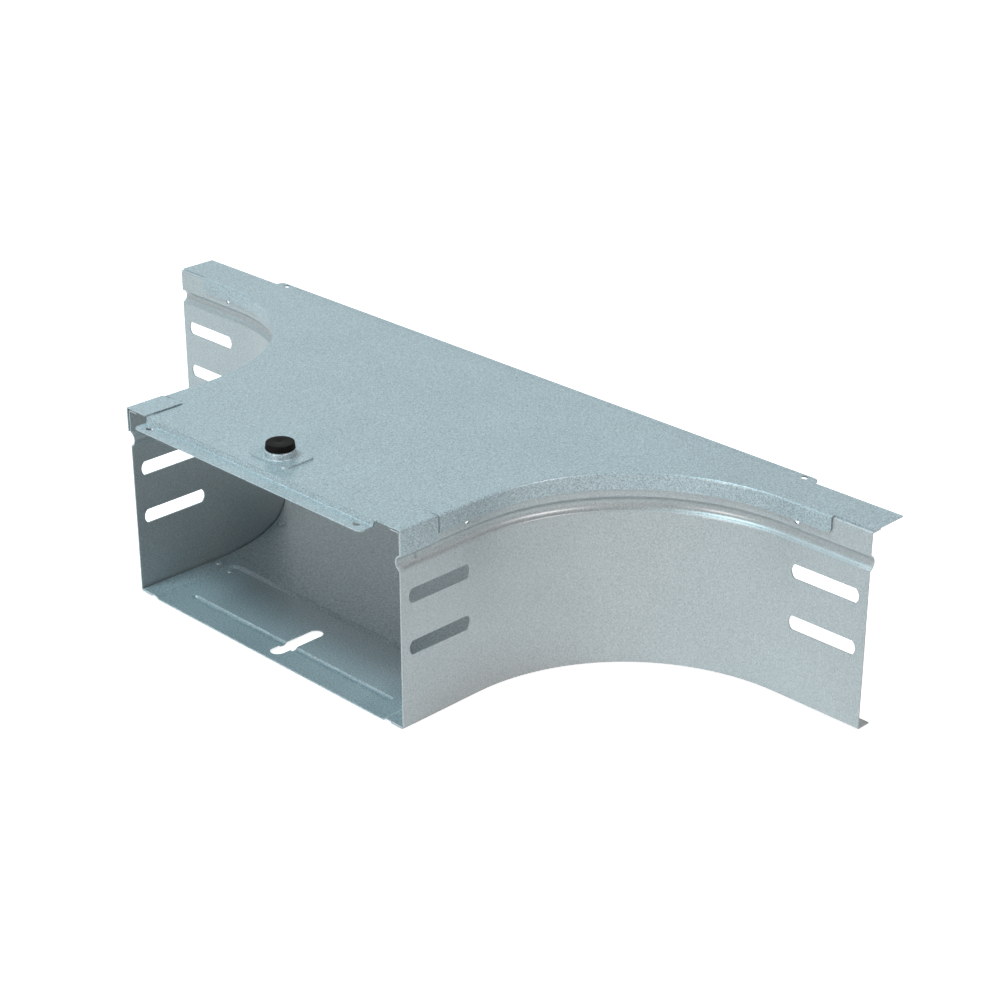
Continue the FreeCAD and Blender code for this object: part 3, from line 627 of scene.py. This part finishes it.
class TRAY_OT_studio(bpy.types.Operator):
    """Set up the pale floor, the soft light and the camera"""

    bl_idname = "tray.studio"
    bl_label = "Build Studio"

    def execute(self, context):
        studio = context.scene.tray_studio
        self.lay_floor(studio)
        self.light_world(context, studio)
        middle = Vector(studio.target)
        for name, azimuth, elevation, power, colour in LAMPS:
            power, colour = getattr(studio, power), getattr(studio, colour)
            self.hang_lamp(name, middle, azimuth, elevation, power, colour)
        self.place_camera(context, studio)
        context.scene.view_settings.view_transform = "Standard"
        return {"FINISHED"}

    @staticmethod
    def background_rays(tree):
        """1 for the rays that should see a plain pale background."""
        path = tree.nodes.new("ShaderNodeLightPath").outputs
        seen = calculated(tree, "MAXIMUM", path["Is Camera Ray"], path["Is Glossy Ray"])
        return calculated(tree, "MAXIMUM", seen, path["Is Transmission Ray"])

    def lay_floor(self, studio):
        select_only()
        bpy.ops.mesh.primitive_grid_add(
            x_subdivisions=FLOOR_PARTS, y_subdivisions=FLOOR_PARTS, size=FLOOR_SIZE,
            location=(0, 0, FLOOR_LEVEL),
        )
        floor = bpy.context.object
        floor.name = "studio_floor"
        settle(floor)
        material, tree, shader = empty_material("studio floor")
        shader.inputs["Base Color"].default_value = (*studio.backdrop, 1)
        shader.inputs["Roughness"].default_value = 0.9
        shader.inputs["Specular IOR Level"].default_value = 0.1
        shader.inputs["Emission Color"].default_value = (1, 1, 1, 1)
        glow = calculated(tree, "MULTIPLY", self.background_rays(tree), studio.glow)
        tree.links.new(glow, shader.inputs["Emission Strength"])
        dress(floor, material)

    def light_world(self, context, studio):
        world = bpy.data.worlds.new("Studio light")
        context.scene.world = world
        world.use_nodes = True
        tree = world.node_tree
        tree.nodes.clear()
        seen = new_node(tree, "ShaderNodeBackground", {"Color": (1, 1, 1, 1), "Strength": 1.0})
        lit = new_node(tree, "ShaderNodeBackground", {"Color": (1, 1, 1, 1), "Strength": studio.fill})
        mix = tree.nodes.new("ShaderNodeMixShader")
        tree.links.new(self.background_rays(tree), mix.inputs[0])
        tree.links.new(lit.outputs[0], mix.inputs[1])
        tree.links.new(seen.outputs[0], mix.inputs[2])
        end = tree.nodes.new("ShaderNodeOutputWorld")
        tree.links.new(mix.outputs[0], end.inputs["Surface"])

    @staticmethod
    def hang_lamp(name, target, azimuth, elevation, power, colour):
        """Round soft lamp that looks at the target. Both angles are in degrees."""
        offset = LAMP_DISTANCE * outward(math.radians(azimuth), math.radians(elevation))
        lamp = bpy.data.lights.new(name, "AREA")
        lamp.shape = "DISK"
        lamp.size = LAMP_SIZE
        lamp.energy = power
        lamp.color = colour
        holder = bpy.data.objects.new(name, lamp)
        bpy.context.scene.collection.objects.link(holder)
        holder.location = target + offset
        holder.rotation_euler = (-offset).to_track_quat("-Z", "Y").to_euler()

    @staticmethod
    def place_camera(context, studio):
        back = outward(studio.azimuth, studio.elevation)
        lens = bpy.data.cameras.new("Studio camera")
        lens.lens = studio.lens
        lens.sensor_width = 36
        camera = bpy.data.objects.new("Studio camera", lens)
        context.scene.collection.objects.link(camera)
        camera.location = Vector(studio.target) + back * studio.distance
        camera.rotation_euler = (-back).to_track_quat("-Z", "Y").to_euler()
        context.scene.camera = camera


class TRAY_PT_sidebar(bpy.types.Panel):
    """Sizes, colours and steps of the tray tee"""

    bl_idname = "TRAY_PT_sidebar"
    bl_label = "Tray Tee"
    bl_space_type = "VIEW_3D"
    bl_region_type = "UI"
    bl_category = "Tray Tee"

    def draw(self, context):
        for operator, group in STEPS:
            box = self.layout.box()
            box.operator(operator.bl_idname)
            settings = getattr(context.scene, group)
            for name in settings.__annotations__:
                box.prop(settings, name)


STEPS = (
    (TRAY_OT_zinc_sheets, "tray_zinc"),
    (TRAY_OT_plated_pieces, "tray_plating"),
    (TRAY_OT_knob, "tray_knob"),
    (TRAY_OT_studio, "tray_studio"),
)
SETTINGS = {
    "tray_zinc": ZincSettings,
    "tray_plating": PlatingSettings,
    "tray_knob": KnobSettings,
    "tray_studio": StudioSettings,
}


def register():
    for name, group in SETTINGS.items():
        bpy.utils.register_class(group)
        setattr(bpy.types.Scene, name, bpy.props.PointerProperty(type=group))
    for operator, _ in STEPS:
        bpy.utils.register_class(operator)
    bpy.utils.register_class(TRAY_PT_sidebar)


def unregister():
    bpy.utils.unregister_class(TRAY_PT_sidebar)
    for operator, _ in reversed(STEPS):
        bpy.utils.unregister_class(operator)
    for name, group in SETTINGS.items():
        delattr(bpy.types.Scene, name)
        bpy.utils.unregister_class(group)


def main():
    register()
    bpy.ops.tray.zinc_sheets()
    bpy.ops.tray.plated_pieces()
    bpy.ops.tray.knob()
    bpy.ops.tray.studio()


if __name__ == "__main__":
    main()
